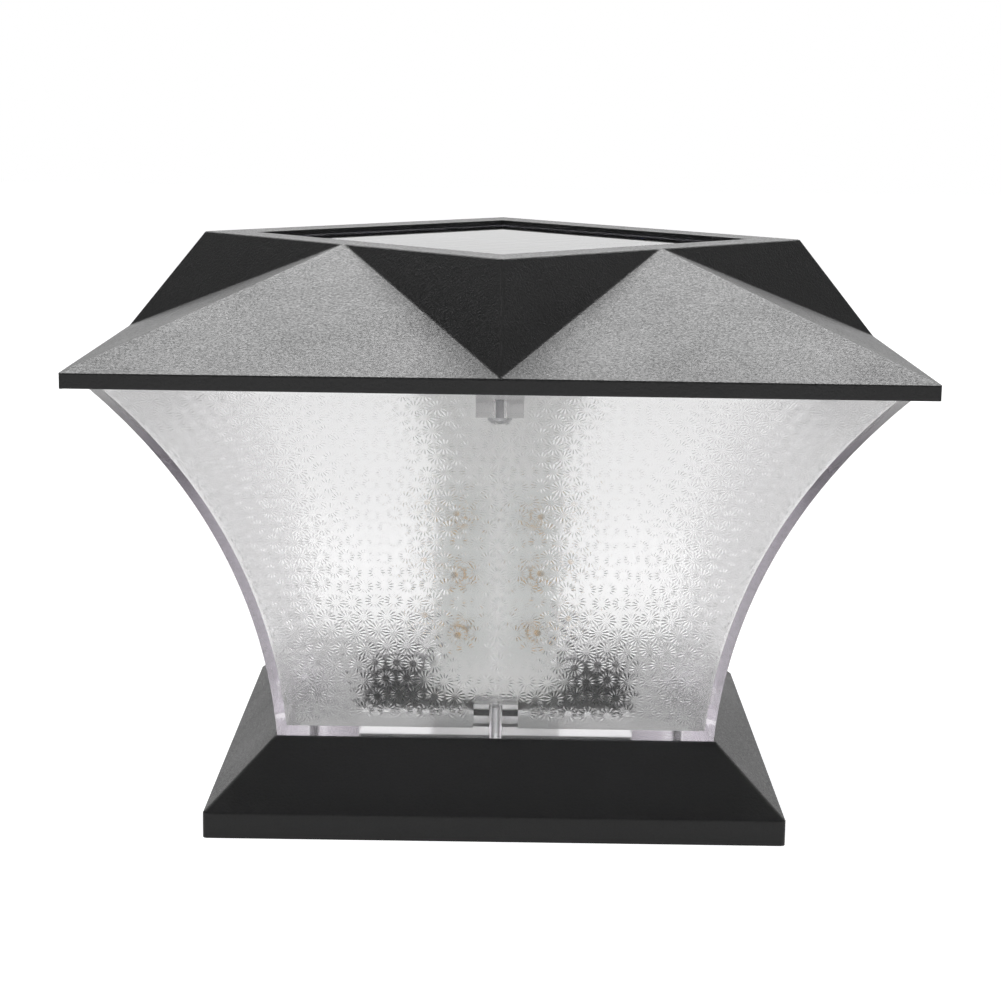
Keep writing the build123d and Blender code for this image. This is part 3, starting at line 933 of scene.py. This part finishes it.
    def add_quarter(self, mesh: bmesh.types.BMesh) -> None:
        """Add the front quarter of the shade between its two mitred corners.

        Args:
            mesh: The bmesh to add to.
        """
        levels = [self.bottom + self.height * index / self.rows for index in range(self.rows + 1)]
        outside = [ends(self.outer_half(level), level) for level in levels]
        left, right = ([mesh.verts.new(pair[side]) for pair in outside] for side in (0, 1))
        for index in range(self.rows):
            face = mesh.faces.new((left[index], right[index], right[index + 1], left[index + 1]))
            face.smooth = True
        self.add_patterned_wall(mesh)
        rim = ends(self.inner_half(self.field_length), self.top)
        floor = ends(self.inner_half(0.0), self.floor_top)
        gap_top, gap_low = (ends(self.opening_half, level)[::-1] for level in (self.floor_top, self.bottom))
        top_tab = self.add_top_tab(mesh)
        low_tab = self.add_low_tab(mesh)
        fill(mesh, outside[-1] + rim[1:] + top_tab[::-1] + rim[:1],
             circle(self.top_hole, self.top, 0, -self.top_place))
        fill(mesh, floor[:1] + low_tab + floor[1:] + gap_top)
        fill(mesh, gap_top[::-1] + gap_low)
        fill(mesh, outside[0] + gap_low, circle(self.low_hole, self.bottom, 0, -self.low_place))

    def build(self) -> None:
        """Build the shade from four turns of one quarter, frost the wall of its opening, and dress it."""
        quarter = bmesh.new()
        quarter.verts.layers.float.new("frost")
        quarter.loops.layers.uv.new("flower")
        self.add_quarter(quarter)
        quarter_data = finished_mesh("shade_quarter", quarter)
        mesh = bmesh.new()
        for turn in range(4):
            first = len(mesh.verts)
            mesh.from_mesh(quarter_data)
            mesh.verts.ensure_lookup_table()
            bmesh.ops.rotate(mesh, verts=mesh.verts[first:], cent=(0, 0, 0),
                             matrix=Matrix.Rotation(turn * math.pi / 2, 3, "Z"))
        bpy.data.meshes.remove(quarter_data)
        bmesh.ops.remove_doubles(mesh, verts=mesh.verts, dist=MERGE)
        bmesh.ops.recalc_face_normals(mesh, faces=mesh.faces)
        frost = mesh.verts.layers.float["frost"]
        for vert in mesh.verts:
            if max(abs(vert.co.x), abs(vert.co.y)) < self.opening_half + self.opening_rim:
                vert[frost] = 1.0
        log.info("shade: %d open or crowded edges", open_edges(mesh))
        for edge in mesh.edges:
            if edge.is_manifold and edge.calc_face_angle() > math.radians(self.crease):
                edge.smooth = False
        finish = ClearPlastic("clear_relief", petals=self.petal_count)
        make_piece("shade_moulding", mesh, finish.material(), ["shade"])


# The black mouldings


@dataclass
class EasedMoulding:
    """A CAD moulding copied as it is, with its long edges rounded as a mould leaves them."""

    node: str
    piece: str
    easing: float = 0.45
    shortest: float = 10.0
    sharpest: float = 12.0
    flat_within: float = 0.5
    slot: str = "black_moulding"

    def build(self, plastic: bpy.types.Material) -> None:
        """Copy the node, merge its loose triangles into faces, round its edges and dress it.

        Args:
            plastic: Its material.
        """
        mesh = bmesh.new()
        mesh.from_mesh(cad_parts[self.node].data)
        bmesh.ops.scale(mesh, vec=(1 / MM, 1 / MM, 1 / MM), verts=mesh.verts)
        bmesh.ops.remove_doubles(mesh, verts=mesh.verts, dist=MERGE)
        bmesh.ops.dissolve_limit(mesh, angle_limit=math.radians(self.flat_within), verts=mesh.verts,
                                 edges=mesh.edges)
        edges = [edge for edge in mesh.edges if edge.calc_length() > self.shortest
                 and edge.calc_face_angle(0.0) > math.radians(self.sharpest)]
        bmesh.ops.bevel(mesh, geom=edges, offset=self.easing, offset_type="OFFSET", segments=2, profile=0.5,
                        affect="EDGES", clamp_overlap=False, material=-1)
        for face in mesh.faces:
            face.smooth = False
        log.info("%s: %d edges rounded, %d open", self.node, len(edges), open_edges(mesh))
        make_piece(self.piece, mesh, plastic, [self.node])


# The LEDs


@dataclass
class LedInsides:
    """The phosphor cup and the two posts that show through each LED's clear dome."""

    face: float = 20.9
    levels: tuple[float, ...] = (51.0, 70.3, 89.6)
    cup_base: float = 23.4
    cup_depth: float = 1.5
    cup_radius: float = 1.45
    cup_foot: float = 0.9
    cup_sides: int = 16
    lip: float = 0.2
    dish: float = 0.15
    dome: float = 0.35
    dome_slope: float = 0.5
    post: tuple[float, float] = (0.5, 0.8)
    post_spread: float = 0.75
    post_tops: tuple[float, float] = (23.6, 24.4)
    easing: float = 0.08

    def places(self) -> list[Matrix]:
        """Return the turn and the place of every LED, with its axis along X."""
        turns = [Matrix.Rotation(math.tau * board / LED_BOARDS, 4, "Z") for board in range(LED_BOARDS)]
        return [turn @ Matrix.Translation((0.0, 0.0, level)) for turn in turns for level in self.levels]

    def add_cup(self, mesh: bmesh.types.BMesh, place: Matrix) -> None:
        """Add one dished cup, filled to a low dome.

        Args:
            mesh: The bmesh to add to.
            place: The LED's place.
        """
        middle = Matrix.Translation((self.cup_base + self.cup_depth / 2, 0.0, 0.0))
        made = bmesh.ops.create_cone(mesh, cap_ends=True, segments=self.cup_sides, radius1=self.cup_foot,
                                     radius2=self.cup_radius, depth=self.cup_depth,
                                     matrix=place @ middle @ Matrix.Rotation(math.pi / 2, 4, "Y"))
        outward = place.to_3x3() @ Vector((1.0, 0.0, 0.0))
        top = max((face for vert in made["verts"] for face in vert.link_faces),
                  key=lambda face: face.normal.dot(outward))
        bmesh.ops.inset_individual(mesh, faces=[top], thickness=self.lip, depth=-self.dish)
        bmesh.ops.inset_individual(mesh, faces=[top], thickness=self.dome_slope, depth=self.dome)

    def add_posts(self, mesh: bmesh.types.BMesh, place: Matrix) -> None:
        """Add one LED's two square posts, from its board up into its dome.

        Args:
            mesh: The bmesh to add to.
            place: The LED's place.
        """
        for side, top in zip((-1, 1), self.post_tops):
            height = top - self.face
            spot = Matrix.Translation((self.face + height / 2, side * self.post_spread, 0.0))
            size = Matrix.Diagonal((height, self.post[0], self.post[1], 1.0))
            made = bmesh.ops.create_cube(mesh, size=1.0, matrix=place @ spot @ size)
            edges = list({edge for vert in made["verts"] for edge in vert.link_edges})
            bmesh.ops.bevel(mesh, geom=edges, offset=self.easing, offset_type="OFFSET", segments=1,
                            profile=0.5, affect="EDGES", material=-1)

    def build(self, steel: bpy.types.Material) -> None:
        """Build every cup as one piece and every post as another, and dress them.

        Args:
            steel: The posts' material.
        """
        cups, posts = bmesh.new(), bmesh.new()
        for place in self.places():
            self.add_cup(cups, place)
            self.add_posts(posts, place)
        phosphor = SatinPlastic("phosphor", (1.0, 0.6, 0.13), roughness=0.55, wave=0.5, depth=0.02,
                                spread=0.35)
        make_piece("led_cups", cups, phosphor.material())
        make_piece("led_posts", posts, steel)


# The studio


@dataclass
class Studio:
    """The camera, the floor, the world and the lamps, in metres, degrees and watts.

    The lens, the sensor and the grain of the floor's paper are millimetres.
    """

    lens: float = 83.61
    sensor: float = 36.0
    clip: tuple[float, float] = (0.01, 50.0)
    camera_place: Point = (0.00055, -0.7770, 0.2338)
    pitch: float = 10.434
    roll: float = 0.820
    floor_half: float = 4.0
    floor_greys: tuple[float, float] = (0.60, 0.62)
    floor_roughness: float = 0.9
    floor_glow: float = 0.4
    paper_grain: float = 3.0
    hollow_half: float = 0.088
    bounces: tuple[int, int, int] = (24, 14, 20)
    ambient: float = 0.35
    front_level: float = 0.06
    front_ease: tuple[float, float] = (0.35, 0.8)
    aim: Point = (0.0, 0.0, 0.12)
    lamp_elevation: float = 56.0
    lamp_distance: float = 1.6
    lamp_size: float = 1.1
    lamp_stretch: float = 1.6
    lamp_power: float = 12.0
    sheen_power: float = 32.0
    sheen_setback: float = 0.02
    fill_elevation: float = 18.0
    fill_power: float = 21.0

    def add_camera(self) -> None:
        """Set the camera where the photograph was taken from."""
        data = bpy.data.cameras.new("camera")
        data.lens = self.lens
        data.sensor_width = self.sensor
        data.clip_start, data.clip_end = self.clip
        camera = add_object("camera", data)
        turn = Matrix.Rotation(math.radians(90 - self.pitch), 4, "X") @ Matrix.Rotation(
            math.radians(self.roll), 4, "Z")
        camera.matrix_world = Matrix.Translation(self.camera_place) @ turn
        bpy.context.scene.camera = camera

    def add_floor(self) -> None:
        """Lay the plain pale floor, which shows white, keeps a soft shadow and has no glow under the base."""
        mesh = bmesh.new()
        bmesh.ops.create_grid(mesh, x_segments=1, y_segments=1, size=self.floor_half)
        tree = Tree(bpy.data.materials.new("pale_floor"))
        greys = ((grey, grey, grey) for grey in self.floor_greys)
        paper = tree.blend(tree.noise(self.paper_grain, detail=3.0), *greys)
        seen = tree.calc("MULTIPLY", tree.seen(), self.floor_glow)
        camera = tree.add("LightPath").outputs["Is Camera Ray"]
        glow = tree.calc("MULTIPLY_ADD", camera, self.floor_glow, seen)
        parts = tree.add("SeparateXYZ", {0: tree.place()}).outputs
        reach = tree.calc("MAXIMUM", *(tree.calc("ABSOLUTE", parts[axis]) for axis in "XY"))
        glow = tree.calc("MULTIPLY", glow, tree.calc("GREATER_THAN", reach, self.hollow_half))
        tree.surface(Base_Color=paper, Roughness=self.floor_roughness, Emission_Color=WHITE,
                     Emission_Strength=glow)
        floor = add_object("floor", finished_mesh("floor", mesh))
        floor.data.materials.append(tree.owner)

    def add_world(self) -> None:
        """Light everything evenly, and show white behind the object and dark in what mirrors the front."""
        world = bpy.data.worlds.new("studio_world")
        bpy.context.scene.world = world
        tree = Tree(world, "OutputWorld")
        parts = tree.add("SeparateXYZ", {0: tree.add("TexCoord").outputs["Generated"]}).outputs
        behind = tree.eased(parts["Y"], *self.front_ease, low=self.front_level)
        path = tree.add("LightPath").outputs
        mirrored = tree.calc("SUBTRACT", path["Is Glossy Ray"], path["Is Transmission Ray"], clamp=True)
        shown = tree.add("Mix", {"Factor": mirrored, "A": 1.0, "B": behind}).outputs[0]
        level = tree.add("Mix", {"Factor": tree.seen(), "A": self.ambient, "B": shown}).outputs[0]
        background = tree.add("Background", {"Color": WHITE, "Strength": level})
        tree.links.new(background.outputs[0], tree.output.inputs["Surface"])

    def add_lamp(self, name: str, power: float, elevation: float, side: Side = Side.BEHIND,
                 setback: float = 0.0) -> bpy.types.Object:
        """Hang one large soft lamp that points at the object.

        Args:
            name: The lamp's name.
            power: Its power.
            elevation: How high it hangs, as an angle.
            side: The side of the object that it hangs on.
            setback: How much further than the others it hangs.

        Returns:
            The lamp.
        """
        data = bpy.data.lights.new(name, "AREA")
        data.shape = "RECTANGLE"
        data.size, data.size_y = self.lamp_size * self.lamp_stretch, self.lamp_size
        data.energy = power
        lamp = add_object(name, data)
        rise = math.radians(elevation)
        aim = Vector(self.aim)
        outward = Vector((0, side.value * math.cos(rise), math.sin(rise)))
        lamp.location = aim + (self.lamp_distance + setback) * outward
        lamp.rotation_euler = (aim - lamp.location).to_track_quat("-Z", "Y").to_euler()
        return lamp

    def build(self) -> None:
        """Set up the whole studio."""
        scene = bpy.context.scene
        scene.view_settings.view_transform = "Standard"
        self.add_camera()
        self.add_floor()
        self.add_world()
        self.add_lamp("back_softbox", self.lamp_power, self.lamp_elevation)
        front = self.add_lamp("front_softbox", self.fill_power, self.fill_elevation, Side.BEFORE)
        front.visible_glossy = False
        sheen = self.add_lamp("back_sheen", self.sheen_power, self.lamp_elevation, setback=self.sheen_setback)
        sheen.visible_diffuse = False
        sheen.visible_transmission = False
        (scene.cycles.max_bounces, scene.cycles.glossy_bounces,
         scene.cycles.transmission_bounces) = self.bounces


def node_finishes() -> list[tuple[Finish, Sequence[str]]]:
    """List each finish of the small parts with the CAD nodes that wear it.

    Returns:
        The finishes and their nodes' names.
    """
    leds, boards = ([f"{kind}_{board + 1}" for board in range(LED_BOARDS)]
                    for kind in ("led_set", "led_board"))
    return [
        (SatinPlastic("satin_white", (0.9, 0.9, 0.89), roughness=0.3),
         ("column_collar", "column_core", "column_cap", "ceiling_plate")),
        (Metal("dull_steel", (0.55, 0.55, 0.56), roughness=0.55),
         ("shade_top_screws", "shade_base_screws")),
        (ClearPlastic("panel_cover", roughness=0.03, frosted=0.03, ior=1.52, tint=(0.62, 0.58, 0.86),
                      density=40.0), ("panel_glass",)),
        (PrintedWafer("printed_wafer"), ("solar_wafers",)),
        (SatinPlastic("pale_backboard", (0.74, 0.74, 0.72), roughness=0.6, wave=1.5, depth=0.02,
                      spread=0.12), ("panel_backboard",)),
        (SatinPlastic("soft_rubber", (0.035, 0.035, 0.036), roughness=0.7, wave=3.0, depth=0.05, spread=0.3),
         ("panel_seal", "plate_gasket")),
        (SatinPlastic("white_mask", (0.84, 0.86, 0.84), roughness=0.4, wave=4.0, depth=0.02, spread=0.08),
         boards),
        (ClearPlastic("clear_resin", roughness=0.03, frosted=0.03, ior=1.5, tint=(0.95, 0.9, 0.75),
                      density=4.0), leds),
        (CircuitBoard("green_circuit"), ("charging_board",)),
        (GrainedPlastic("chip_plastic", (0.02, 0.02, 0.021), roughness=0.5, grain=0.2, depth=0.03),
         ("charging_chip",)),
        (GrainedPlastic("ferrite_core", (0.07, 0.07, 0.075), roughness=0.6, grain=0.35, depth=0.05),
         ("inductor",)),
        (SatinPlastic("pale_nylon", (0.8, 0.79, 0.73), roughness=0.4, wave=2.5, depth=0.02, spread=0.1),
         ("lead_sockets",)),
        (SleevedCan("sleeved_capacitor", (0.03, 0.03, 0.06), Lie.UPRIGHT, bare_from=163.3), ("capacitor",)),
        (SleevedCan("sleeved_battery", (0.05, 0.19, 0.42), Lie.FLAT, bare_from=31.8),
         ("battery_cell_front", "battery_cell_rear")),
        (SatinPlastic("wire_sleeve", (0.12, 0.02, 0.02), roughness=0.4, wave=2.0, depth=0.02, spread=0.25),
         ("panel_lead", "battery_lead", "switch_lead", "led_lead")),
        (SatinPlastic("switch_plastic", (0.035, 0.035, 0.04), roughness=0.35, wave=1.5, depth=0.02,
                      spread=0.2), ("switch_body", "switch_button")),
    ]


def main() -> None:
    """Build the studio and each sub-assembly in order, and dress the CAD nodes."""
    logging.basicConfig(level=logging.INFO, format="%(name)s: %(message)s")
    Studio().build()
    Shade().build()
    black = GrainedPlastic("grained_black").material()
    EasedMoulding("roof_shell", "roof_moulding").build(black)
    EasedMoulding("base_frame", "base_moulding").build(black)
    dress(black, "battery_holder")
    steel = Metal("plated_steel").material()
    LedInsides().build(steel)
    dress(steel, "plate_screws", "collar_screws", "cap_screws", "battery_contacts", "holder_screws",
          "board_screws")
    for finish, nodes in node_finishes():
        dress(finish.material(), *nodes)


if __name__ == "__main__":
    main()
